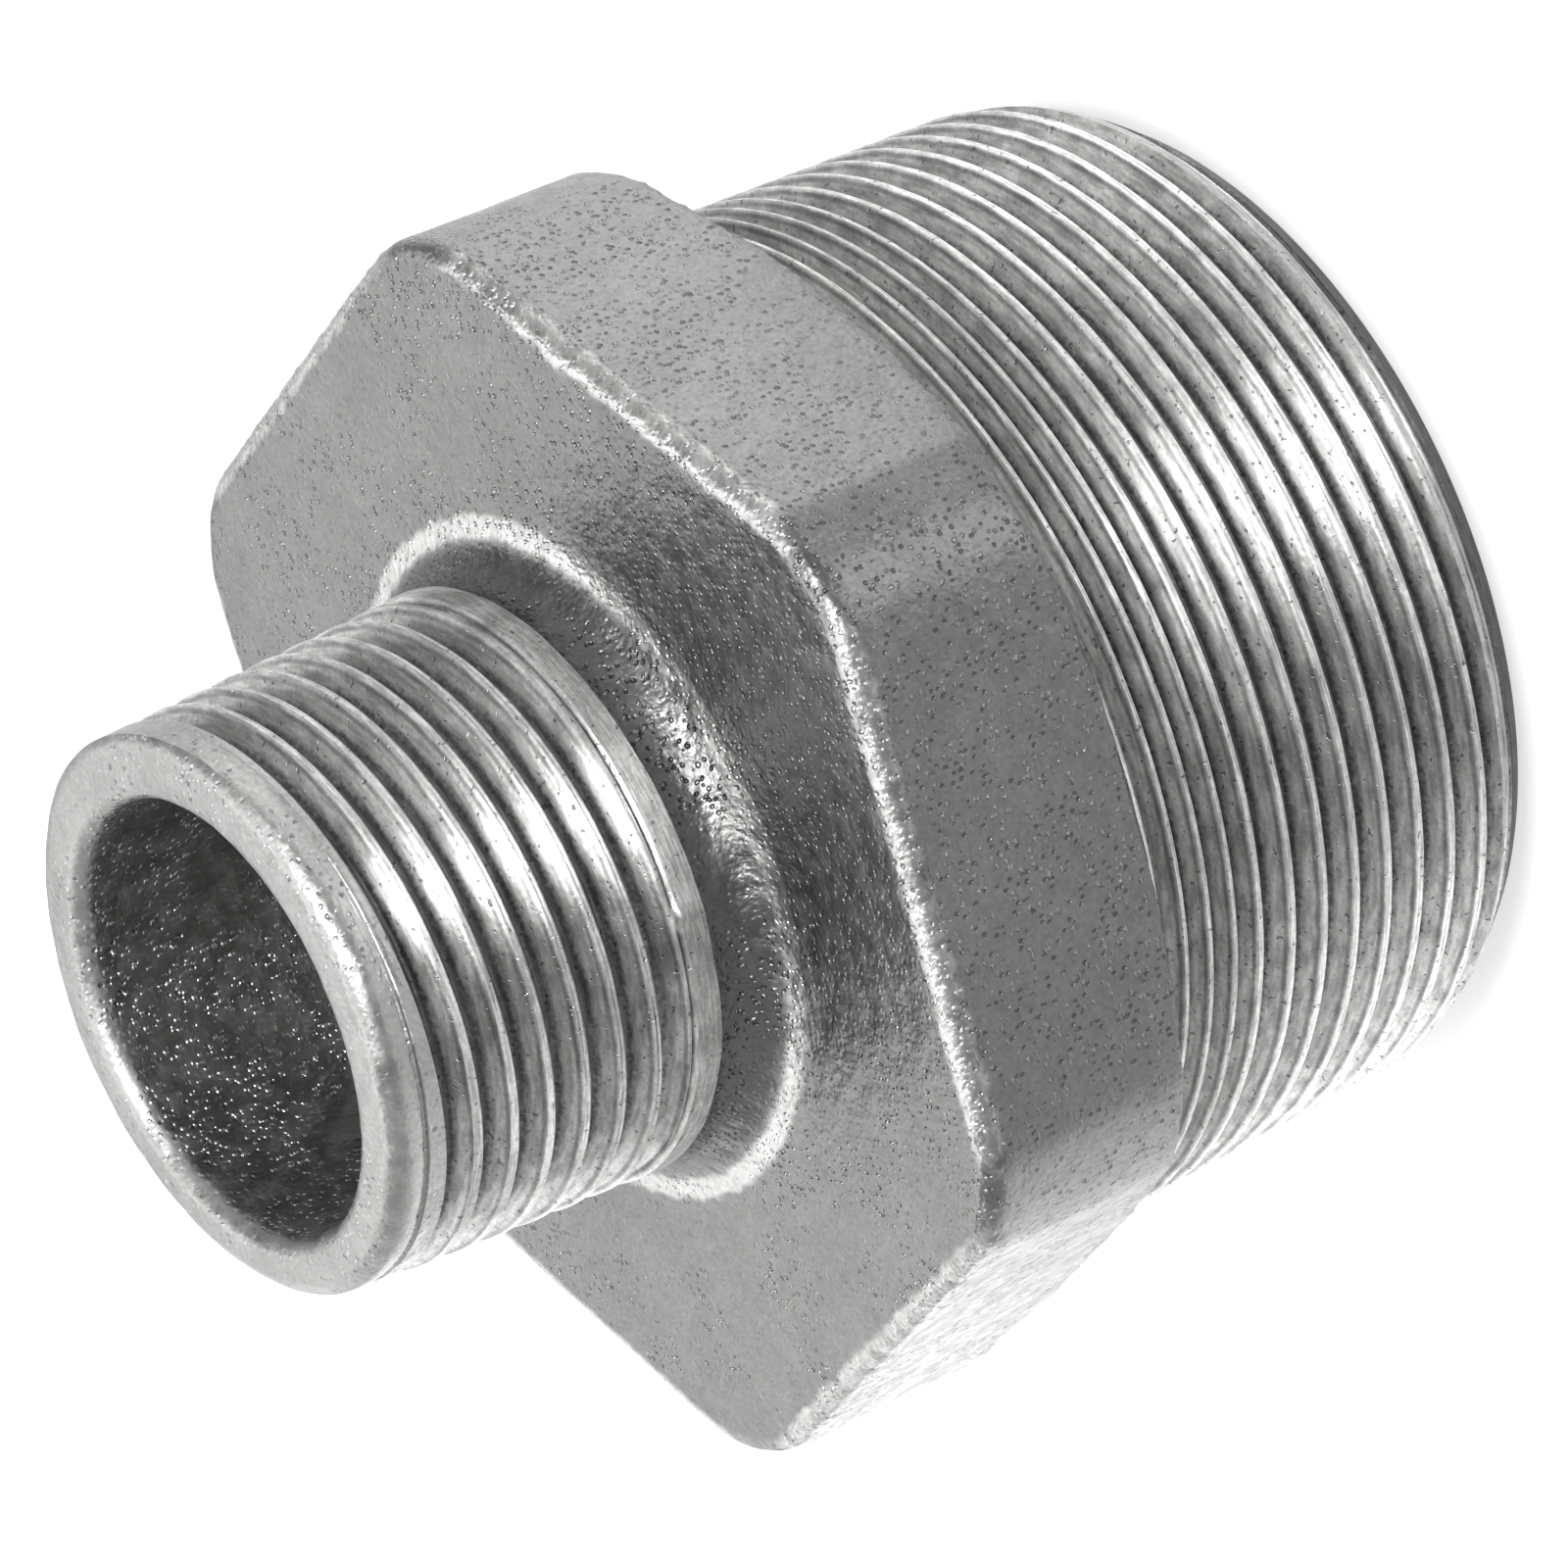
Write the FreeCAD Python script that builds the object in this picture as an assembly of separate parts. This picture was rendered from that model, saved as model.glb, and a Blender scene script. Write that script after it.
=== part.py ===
import FreeCAD, Part
import math
import os

# A cast hex reducing nipple: a large male taper thread at the foot, a hexagon for the spanner,
# a small male taper thread on top and one stepped bore through both. The large end's face lies
# on z = 0 and the pipe axis is +Z. Lengths are in millimetres, angles in degrees.

# lengths along the axis
large_end_length = 27.9
hex_thickness = 15.6
small_end_length = 24.5

# hexagon, with one corner on +X
hex_across_flats = 64.0
hex_corner_radius = 9.0
hex_front_edge_break = 0.8
hex_rear_slope = 24.0

# thread form of both ends: 11 turns to the inch, taper 1 in 16 on the diameter
pitch = 25.4 / 11
taper = 1 / 16
thread_depth = 0.640327 * pitch
faded_depth = 0.05
points_per_turn = 12

# large thread, with a plain band between it and the hexagon
large_gauge_diameter = 59.614
large_gauge_length = 15.9
large_start_angle = 268.6
large_plain_start = 1.8
large_run_in = 3.5
large_run_out = 1.6
large_band = 3.5

# lead-in chamfer of the large end
large_face_radius = 27.3
large_chamfer_angle = 28.0

# small thread
small_gauge_diameter = 33.249
small_gauge_length = 10.4
small_start_angle = 345.6
small_plain_nose = 3.0
small_run_in = 1.8
small_run_out = 1.6

# nose of the small end: a broken inner and outer lip, then a slim cone up to the crests
nose_lip_break = 0.9
nose_cone_angle = 6.0
nose_cone_end = 4.4

# neck between the small thread and the hexagon: a plain land on a flare
neck_land = 2.6
neck_flare_height = 2.7
neck_flare_width = 2.3

# how far the plain band and the plain land stand above the crests beside them
band_height = 0.08

# bore, with a flat shoulder inside the hexagon
small_bore_diameter = 25.0
large_bore_diameter = 48.0
large_bore_depth = 36.0

# how far solids that are joined reach into each other, and cutters past a face
overlap = 0.5

# places along the axis
hex_rear_z = large_end_length
hex_front_z = hex_rear_z + hex_thickness
overall_length = hex_front_z + small_end_length

AXIS = FreeCAD.Vector(0, 0, 1)
ORIGIN = FreeCAD.Vector(0, 0, 0)


def point(radius, z):
    """A point of an axial section, in the X-Z half plane."""
    return FreeCAD.Vector(radius, 0, z)


def rise(angle):
    """Sideways growth of a line for each millimetre of its run."""
    return math.tan(math.radians(angle))


def outline(points):
    """Straight edges round a closed outline."""
    return [Part.makeLine(a, b) for a, b in zip(points, points[1:] + points[:1])]


def revolved(points):
    """The solid that a closed axial section sweeps round the pipe axis."""
    return Part.Face(Part.Wire(outline(points))).revolve(ORIGIN, AXIS, 360)


class TaperThread:
    """A right-hand taper thread that starts at z = 0 and runs along +Z to its last turn.

    Its skin is made of two helical flanks a turn, which meet in sharp crests and roots at the
    major and minor radii. The groove deepens over the run-in and fades over the run-out.
    """

    def __init__(self, gauge_diameter, gauge_length, length, plain_start, run_in, run_out, start_angle):
        self.gauge_radius = gauge_diameter / 2
        self.gauge_length = gauge_length
        self.length = length
        self.plain_start = plain_start
        self.run_in = run_in
        self.run_out = run_out
        self.start_angle = math.radians(start_angle)
        self.first_z = -2 * pitch
        self.turns = math.ceil((length + 2 * pitch - self.first_z) / pitch) + 1

    def crest_radius(self, z):
        return self.gauge_radius + (z - self.gauge_length) * taper / 2

    def depth(self, z):
        deepening = (z - self.plain_start) / self.run_in
        fading = (self.length - z) / self.run_out
        return max(faded_depth, thread_depth * min(1.0, deepening, fading))

    def crest(self, turn):
        z = self.first_z + turn * pitch
        return self.place(self.crest_radius(z), z, turn)

    def root(self, turn):
        z = self.first_z + (turn + 0.5) * pitch
        return self.place(self.crest_radius(z) - self.depth(z), z, turn)

    def place(self, radius, z, turn):
        angle = self.start_angle + 2 * math.pi * turn
        return FreeCAD.Vector(radius * math.cos(angle), radius * math.sin(angle), z)

    def axis_point(self, turn):
        return FreeCAD.Vector(0, 0, self.first_z + turn * pitch)

    def one_turn(self, curve_point, turn):
        """The edge that a crest or root follows for one turn."""
        count = points_per_turn
        points = [curve_point(turn + i / count) for i in range(count + 1)]
        step = 0.001
        tangents = []
        for end in (turn, turn + 1):
            chord = curve_point(end + step) - curve_point(end - step)
            tangents.append(chord / (2 * step * count))
        helix = Part.BSplineCurve()
        helix.interpolate(
            Points=points,
            Parameters=list(range(count + 1)),
            InitialTangent=tangents[0],
            FinalTangent=tangents[1],
            Scale=False,
        )
        return helix.toShape()

    def end_step(self, turn):
        """The flat radial face between the two rims of the spiral floor or ceiling."""
        rim = [self.crest(turn), self.root(turn), self.crest(turn + 1)]
        return Part.Face(Part.Wire(outline(rim + [self.axis_point(turn + 1), self.axis_point(turn)])))

    def solid(self):
        """The threaded rod, longer than the thread at both ends."""
        crests = [self.one_turn(self.crest, turn) for turn in range(self.turns)]
        roots = [self.one_turn(self.root, turn) for turn in range(self.turns)]
        faces = []
        for lower, root, upper in zip(crests, roots, crests[1:]):
            faces.append(Part.makeRuledSurface(lower, root))
            faces.append(Part.makeRuledSurface(root, upper))
        for turn in (0, self.turns - 1):
            spindle = Part.makeLine(self.axis_point(turn), self.axis_point(turn + 1))
            faces.append(Part.makeRuledSurface(spindle, crests[turn]))
            faces.append(self.end_step(turn))
        rod = Part.makeSolid(Part.makeShell(faces))
        if rod.Volume < 0:
            rod.reverse()
        return rod


def large_end():
    """The large thread, trimmed to its end face and chamfer, and the plain band above it."""
    thread_length = large_end_length - large_band
    thread = TaperThread(
        large_gauge_diameter,
        large_gauge_length,
        thread_length,
        large_plain_start,
        large_run_in,
        large_run_out,
        large_start_angle,
    )
    top = thread_length + overlap
    past_crests = thread.crest_radius(top) + overlap
    chamfer_top = (past_crests - large_face_radius) / rise(large_chamfer_angle)
    blank = revolved(
        [
            point(0, 0),
            point(large_face_radius, 0),
            point(past_crests, chamfer_top),
            point(past_crests, top),
            point(0, top),
        ]
    )
    band_radius = thread.crest_radius(large_end_length) + band_height
    band = Part.makeCylinder(band_radius, large_band + overlap, AXIS * thread_length, AXIS)
    return thread.solid().common(blank).fuse(band)


def small_end():
    """The small thread with its nose, standing on the plain land."""
    thread_length = small_end_length - neck_flare_height - neck_land
    thread = TaperThread(
        small_gauge_diameter,
        small_gauge_length,
        thread_length,
        small_plain_nose,
        small_run_in,
        small_run_out,
        small_start_angle,
    )
    top = thread_length + overlap
    growth = rise(nose_cone_angle)
    past_crests = thread.crest_radius(top) + overlap
    tip_radius = thread.crest_radius(nose_cone_end) - nose_cone_end * growth
    cone_top = (past_crests - tip_radius) / growth
    blank = revolved(
        [
            point(0, 0),
            point(tip_radius - nose_lip_break, 0),
            point(tip_radius + nose_lip_break * growth, nose_lip_break),
            point(past_crests, cone_top),
            point(past_crests, top),
            point(0, top),
        ]
    )
    end = thread.solid().common(blank)
    end.rotate(ORIGIN, FreeCAD.Vector(1, 0, 0), 180)
    end.translate(AXIS * overall_length)
    return end


def hexagon():
    """The spanner hexagon: round corners, a broken front edge and a turned rear bevel."""
    corner_distance = hex_across_flats / 2 / math.cos(math.pi / 6)
    base_z = hex_rear_z - overlap
    corners = []
    for i in range(6):
        angle = i * math.pi / 3
        x = corner_distance * math.cos(angle)
        y = corner_distance * math.sin(angle)
        corners.append(FreeCAD.Vector(x, y, base_z))
    prism = Part.Face(Part.Wire(outline(corners))).extrude(AXIS * (hex_front_z - base_z))
    uprights = [e for e in prism.Edges if abs(e.Vertexes[0].Z - e.Vertexes[-1].Z) > hex_thickness / 2]
    prism = prism.makeFillet(hex_corner_radius, uprights)
    front = [e for e in prism.Edges if min(v.Z for v in e.Vertexes) > hex_front_z - hex_front_edge_break / 2]
    prism = prism.makeChamfer(hex_front_edge_break, front)
    thread_radius = large_gauge_diameter / 2 + (hex_rear_z - large_gauge_length) * taper / 2
    slope = rise(hex_rear_slope)
    bevel = revolved(
        [
            point(0, base_z),
            point(thread_radius - overlap / slope, base_z),
            point(corner_distance, hex_rear_z + (corner_distance - thread_radius) * slope),
            point(corner_distance, hex_front_z + overlap),
            point(0, hex_front_z + overlap),
        ]
    )
    return prism.common(bevel)


def neck():
    """The flared neck on the hexagon's front face, with the plain land below the small thread."""
    past_gauge = small_end_length - neck_flare_height - small_gauge_length
    land_radius = small_gauge_diameter / 2 + past_gauge * taper / 2 + band_height
    flare_z = hex_front_z + neck_flare_height
    return revolved(
        [
            point(0, hex_front_z - overlap),
            point(land_radius + neck_flare_width, hex_front_z - overlap),
            point(land_radius + neck_flare_width, hex_front_z),
            point(land_radius, flare_z),
            point(land_radius, flare_z + neck_land),
            point(0, flare_z + neck_land),
        ]
    )


def bore():
    """The cutter for the stepped bore, wide at the foot and narrow at the top."""
    small = small_bore_diameter / 2
    large = large_bore_diameter / 2
    return revolved(
        [
            point(0, -overlap),
            point(large, -overlap),
            point(large, large_bore_depth),
            point(small, large_bore_depth),
            point(small, overall_length - nose_lip_break),
            point(small + nose_lip_break + overlap, overall_length + overlap),
            point(0, overall_length + overlap),
        ]
    )


def nipple():
    """The whole casting."""
    blank = hexagon().multiFuse([large_end(), neck(), small_end()])
    return blank.cut(bore())


os.makedirs("parts", exist_ok=True)
casting = nipple().Solids[0]
casting.exportStep("parts/nipple_body.step")
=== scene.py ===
"""The looks of the hex reducing nipple: its skin, its finishes, the studio and the camera."""

import logging
import math
from dataclasses import dataclass
from enum import Enum
from typing import Callable, Union

import bpy
from mathutils import Matrix, Vector, noise

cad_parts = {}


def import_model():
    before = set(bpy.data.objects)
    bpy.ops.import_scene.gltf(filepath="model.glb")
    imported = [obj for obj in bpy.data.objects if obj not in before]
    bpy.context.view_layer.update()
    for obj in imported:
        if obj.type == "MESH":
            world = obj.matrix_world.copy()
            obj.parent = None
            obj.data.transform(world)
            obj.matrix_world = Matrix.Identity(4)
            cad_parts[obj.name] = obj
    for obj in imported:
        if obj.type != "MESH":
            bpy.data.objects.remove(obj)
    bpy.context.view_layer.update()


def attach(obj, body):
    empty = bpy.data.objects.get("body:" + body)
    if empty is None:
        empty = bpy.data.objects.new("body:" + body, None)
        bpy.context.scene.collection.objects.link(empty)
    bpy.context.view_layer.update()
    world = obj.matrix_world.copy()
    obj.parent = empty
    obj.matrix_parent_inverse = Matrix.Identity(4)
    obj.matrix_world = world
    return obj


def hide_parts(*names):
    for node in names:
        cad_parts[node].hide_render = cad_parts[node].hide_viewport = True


LOG = logging.getLogger("nipple")
MM = 0.001
FULL_TURN = 2 * math.pi
CAMERA_AZIMUTH = -73.44

Socket = bpy.types.NodeSocket
Level = Union[Socket, float]
Point = tuple[float, float]
Triple = tuple[float, float, float]
EVEN = (1.0, 1.0, 1.0)

# distances in mm at which the points of a mesh are merged, and at which a cut takes a point as on its plane
MERGE_WITHIN = 0.002
CUT_WITHIN = 0.0001

# the range that the noise nodes mostly keep to
NOISE_LOW = 0.3
NOISE_HIGH = 0.7

# the cast skin's dots, in shares of a cell: how they are bent and scattered, their rim and their core
DOT_BEND = 1.1
DOT_SHIFT = 0.45
DOT_SCATTER = 0.8
DOT_RIM = 0.44
DOT_CORE = 0.14

STEEL_TINT = (1.005, 1.0, 0.985)


class Surface(Enum):
    """How a stretch of the skin was left by the foundry or the lathe. The value is its material slot."""

    CAST = 0
    LARGE_THREAD = 1
    BORE = 2
    NOSE = 3
    SMALL_THREAD = 4


class Joining(Enum):
    """What a second solid does to the first."""

    ADD = "UNION"
    CUT = "DIFFERENCE"
    KEEP_COMMON = "INTERSECT"


def smooth(value: float) -> float:
    """Eases a value that runs from 0 to 1, and holds it there outside that range."""
    held = max(0.0, min(1.0, value))
    return held * held * (3 - 2 * held)


def angle_apart(angle: float, other: float) -> float:
    """The turn from one direction to another, in degrees from -180 to 180."""
    return (angle - other + 180) % 360 - 180


def way(azimuth: float, elevation: float) -> Vector:
    """The unit vector towards a direction.

    Args:
        azimuth: Turn from +X towards +Y, in degrees.
        elevation: Angle above the floor, in degrees.

    Returns:
        The unit vector.
    """
    turn = math.radians(azimuth)
    lift = math.radians(elevation)
    return Vector((math.cos(lift) * math.cos(turn), math.cos(lift) * math.sin(turn), math.sin(lift)))


def polar(co: Vector) -> Triple:
    """Radius in mm, direction in degrees and height in mm of a point in metres."""
    return math.hypot(co.x, co.y) / MM, math.degrees(math.atan2(co.y, co.x)), co.z / MM


def from_polar(radius: float, angle: float, z: float) -> Vector:
    """The point in metres at a radius in mm, a direction in degrees and a height in mm."""
    turn = math.radians(angle)
    return Vector((radius * math.cos(turn), radius * math.sin(turn), z)) * MM


def lumps(co: Vector, width: float, seed: float) -> float:
    """Even noise from about -1 to 1 at a point in metres, with lumps of a width in mm."""
    return noise.noise(co / (width * MM) + Vector((seed, -seed, 2 * seed)))


def pick(piece: bpy.types.Object) -> None:
    """Selects one object alone and makes it the active one.

    Args:
        piece: The object.
    """
    bpy.ops.object.select_all(action="DESELECT")
    piece.select_set(True)
    bpy.context.view_layer.objects.active = piece


def draw_line(name: str, points: list[Point]) -> bpy.types.Object:
    """Draws an open line of edges in the X-Z plane, point by point.

    Args:
        name: Name of the object.
        points: Radius and height of each point in mm.

    Returns:
        The line's object, at the origin.
    """
    bpy.ops.object.select_all(action="DESELECT")
    bpy.ops.mesh.primitive_plane_add(size=MM, location=(0, 0, 0))
    line = bpy.context.object
    line.name = name
    line.data.name = name
    bpy.ops.object.mode_set(mode="EDIT")
    bpy.ops.mesh.select_mode(type="VERT")
    bpy.ops.mesh.select_all(action="SELECT")
    bpy.ops.mesh.merge(type="CENTER")
    bpy.ops.transform.translate(value=(points[0][0] * MM, 0, points[0][1] * MM))
    for (radius, z), (next_radius, next_z) in zip(points, points[1:]):
        step = ((next_radius - radius) * MM, 0, (next_z - z) * MM)
        bpy.ops.mesh.extrude_vertices_move(TRANSFORM_OT_translate={"value": step})
    bpy.ops.object.mode_set(mode="OBJECT")
    return line


def close_seams(piece: bpy.types.Object) -> None:
    """Merges the doubles of a mesh and turns its faces outwards.

    Args:
        piece: The mesh object.
    """
    pick(piece)
    bpy.ops.object.mode_set(mode="EDIT")
    bpy.ops.mesh.select_all(action="SELECT")
    bpy.ops.mesh.remove_doubles(threshold=MERGE_WITHIN * MM)
    bpy.ops.mesh.normals_make_consistent(inside=False)
    bpy.ops.object.mode_set(mode="OBJECT")


def turn_solid(name: str, points: list[Point], columns: int) -> bpy.types.Object:
    """Turns a solid round the pipe axis from a line that starts and ends on the axis.

    Args:
        name: Name of the object.
        points: Radius and height of each point in mm.
        columns: Number of faces round the axis.

    Returns:
        The closed solid.
    """
    solid = draw_line(name, points)
    bpy.ops.object.mode_set(mode="EDIT")
    bpy.ops.mesh.select_all(action="SELECT")
    bpy.ops.mesh.spin(
        steps=columns, angle=FULL_TURN, use_auto_merge=False, center=(0, 0, 0), axis=(0, 0, 1)
    )
    bpy.ops.object.mode_set(mode="OBJECT")
    close_seams(solid)
    return solid


def join_solids(piece: bpy.types.Object, tool: bpy.types.Object, joining: Joining) -> None:
    """Adds a second solid to the first or cuts the first with it, and takes the second away.

    Args:
        piece: The solid that is kept.
        tool: The solid that is used up.
        joining: What the second does to the first.
    """
    modifier = piece.modifiers.new("joining", "BOOLEAN")
    modifier.operation = joining.value
    modifier.solver = "MANIFOLD"
    modifier.object = tool
    pick(piece)
    bpy.ops.object.modifier_apply(modifier=modifier.name)
    bpy.data.objects.remove(tool, do_unlink=True)


def arc(centre: Point, radius: float, start: float, end: float, steps: int) -> list[Point]:
    """Points of an arc in the X-Z plane, both ends among them.

    Args:
        centre: Radius and height of the arc's centre in mm.
        radius: Radius of the arc in mm.
        start: Direction of the first point in degrees, with 0 outwards and 90 upwards.
        end: Direction of the last point in degrees.
        steps: Number of edges.

    Returns:
        The points in mm.
    """
    points = []
    for step in range(steps + 1):
        turn = math.radians(start + (end - start) * step / steps)
        points.append((centre[0] + radius * math.cos(turn), centre[1] + radius * math.sin(turn)))
    return points


# shares of a pitch from the crest, with the depth of the rounded 55 degree form there
THREAD_FORM = (
    (0.0, 0.030),
    (0.055, 0.0),
    (0.092, 0.030),
    (0.130, 0.120),
    (0.370, 0.870),
    (0.430, 0.975),
    (0.5, 1.0),
)


@dataclass
class TaperThread:
    """A right-hand taper pipe thread on a rod.

    Heights are in mm. The groove is at full depth between full_from and full_to, and dies out at the
    two fade heights. Towards the hexagon the turns may draw together.

    Attributes:
        name: Name of the rod.
        gauge_radius: Crest radius at the gauge plane.
        gauge_z: Height of the gauge plane.
        growth: Change of the crest radius for each mm of height.
        crest_z: Height of one crest in the camera's direction.
        low: Height where the rod starts.
        high: Height where the rod ends.
        fade_from: Height where the groove starts.
        full_from: Height where the groove is first at full depth.
        full_to: Height where the groove is last at full depth.
        fade_to: Height where the groove ends.
        columns: Number of faces in one turn.
        nick_seed: Picks the places of the uneven crests.
        pitch: Height of one turn.
        depth: Depth of the groove.
        closing_from: Height from which the turns draw together.
        closing_pitch: Height of one turn above that.
        crest_share: Share of the depth over which a crest is worn.
        dent_width: Width of the dented stretches.
        dent: Depth of the deepest dents.
        tear_width: Width of the fine tears.
        tear: Depth of the fine tears.
    """

    name: str
    gauge_radius: float
    gauge_z: float
    growth: float
    crest_z: float
    low: float
    high: float
    fade_from: float
    full_from: float
    full_to: float
    fade_to: float
    columns: int
    nick_seed: float
    pitch: float = 25.4 / 11
    depth: float = 0.640327 * 25.4 / 11
    closing_from: float = 1000.0
    closing_pitch: float = 25.4 / 11
    crest_share: float = 0.25
    dent_width: float = 9.0
    dent: float = 0.07
    tear_width: float = 0.9
    tear: float = 0.012

    def crest_radius(self, z: float) -> float:
        """Radius over the crests at a height."""
        return self.gauge_radius + (z - self.gauge_z) * self.growth

    def drawn_height(self, z: float) -> float:
        """Height that a turn comes to once the last turns have drawn together.

        Args:
            z: Height in mm that it has at an even pitch.

        Returns:
            The height in mm.
        """
        if z < self.closing_from:
            return z
        return self.closing_from + (z - self.closing_from) * self.closing_pitch / self.pitch

    def build(self) -> bpy.types.Object:
        """Models the rod: one pitch of the form is wound up, tapered, and cut off square.

        Returns:
            The closed rod.
        """
        pitch_line = [(-share, deep) for share, deep in reversed(THREAD_FORM)] + list(THREAD_FORM[1:])
        start_z = self.crest_z - self.pitch * CAMERA_AZIMUTH / 360
        first = math.floor((self.low - start_z) / self.pitch) - 2
        turns = math.ceil((self.high - self.low) / self.closing_pitch) + 5
        base_z = start_z + first * self.pitch
        points = []
        for share, deep in pitch_line:
            points.append((self.gauge_radius - self.depth * deep, base_z + share * self.pitch))
        rod = draw_line(self.name, points)
        winding = rod.modifiers.new("winding", "SCREW")
        winding.axis = "Z"
        winding.angle = FULL_TURN
        winding.steps = self.columns
        winding.render_steps = self.columns
        winding.screw_offset = self.pitch * MM
        winding.iterations = turns
        winding.use_merge_vertices = False
        bpy.ops.object.modifier_apply(modifier=winding.name)
        for vertex in rod.data.vertices:
            vertex.co = self.tapered(vertex.co)
        close_seams(rod)
        for height, above in ((self.low, False), (self.high, True)):
            self.cut_square(rod, height, above)
        return rod

    def tapered(self, co: Vector) -> Vector:
        """Moves a point of the straight winding onto the taper, with its groove as deep as it is there.

        Args:
            co: The point in metres.

        Returns:
            The moved point in metres.
        """
        radius, angle, wound_z = polar(co)
        z = self.drawn_height(wound_z)
        deepening = smooth((z - self.fade_from) / (self.full_from - self.fade_from))
        fading = smooth((self.fade_to - z) / (self.fade_to - self.full_to))
        groove = (self.gauge_radius - radius) * min(deepening, fading)
        near_crest = 1 - smooth(groove / (self.crest_share * self.depth))
        lost = near_crest * self.crest_wear(co)
        return from_polar(self.crest_radius(z) - groove - lost, angle, z)

    def crest_wear(self, co: Vector) -> float:
        """How far a crest is dented or torn at a point.

        Args:
            co: The point in metres.

        Returns:
            The depth in mm.
        """
        broad = smooth(lumps(co, self.dent_width, self.nick_seed) * 1.6 - 0.35)
        fine = abs(lumps(co, self.tear_width, self.nick_seed + 5))
        return self.tear * fine + self.dent * broad * (0.4 + fine)

    def cut_square(self, rod: bpy.types.Object, height: float, above: bool) -> None:
        """Cuts the rod off at a height and closes its end.

        Args:
            rod: The wound rod.
            height: Height of the cut in mm.
            above: Whether what is above the cut goes.
        """
        pick(rod)
        bpy.ops.object.mode_set(mode="EDIT")
        bpy.ops.mesh.select_all(action="SELECT")
        bpy.ops.mesh.bisect(
            plane_co=(0, 0, height * MM),
            plane_no=(0, 0, 1),
            use_fill=True,
            clear_outer=above,
            clear_inner=not above,
            threshold=CUT_WITHIN * MM,
        )
        bpy.ops.object.mode_set(mode="OBJECT")


@dataclass
class LargeEnd:
    """The large threaded end, with the turned chamfer at its mouth. Lengths are in mm."""

    length: float = 27.9
    gauge_radius: float = 59.614 / 2
    gauge_z: float = 15.9
    face_radius: float = 27.3
    face_edge: float = 0.25
    core_radius: float = 12.0
    knee_radius: float = 28.8
    knee_z: float = 2.5
    second_chamfer: float = 19.0
    line_heights: Point = (1.55, 2.15)
    reach: float = 0.45
    columns: int = 240

    def thread(self) -> TaperThread:
        """Gives the thread, with its last turns drawn together beside the hexagon.

        Returns:
            The thread.
        """
        return TaperThread(
            name="large_end",
            gauge_radius=self.gauge_radius,
            gauge_z=self.gauge_z,
            growth=1 / 32,
            crest_z=13.97,
            low=-1.0,
            high=self.length + self.reach,
            fade_from=-3.0,
            full_from=-2.0,
            full_to=self.length - 3.2,
            fade_to=self.length + 3.4,
            columns=216,
            nick_seed=3.0,
            closing_from=20.9,
            closing_pitch=1.72,
        )

    def build(self) -> bpy.types.Object:
        """Models the threaded rod and turns its chamfer.

        Returns:
            The closed solid.
        """
        rod = self.thread().build()
        slope = math.tan(math.radians(self.second_chamfer))
        past = self.thread().crest_radius(self.length) + 1.0
        top = self.length + self.reach + 1.0
        points = [(0.0, 0.0), (self.core_radius, 0.0), (self.face_radius - self.face_edge, 0.0)]
        points.append((self.face_radius, self.face_edge))
        points += self.turned_lines()
        points += [
            (self.knee_radius, self.knee_z),
            (past, self.knee_z + (past - self.knee_radius) / slope),
            (past, top),
            (0.0, top),
        ]
        blank = turn_solid("large_blank", points, self.columns)
        join_solids(rod, blank, Joining.KEEP_COMMON)
        return rod

    def turned_lines(self) -> list[Point]:
        """Draws the fine steps that the lathe left on the first chamfer.

        Returns:
            Their points in mm.
        """
        points = []
        rise = (self.knee_radius - self.face_radius) / (self.knee_z - self.face_edge)
        for z in self.line_heights:
            radius = self.face_radius + (z - self.face_edge) * rise
            points += [(radius - 0.02, z - 0.12), (radius - 0.09, z), (radius + 0.07, z + 0.1)]
        return points


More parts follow.
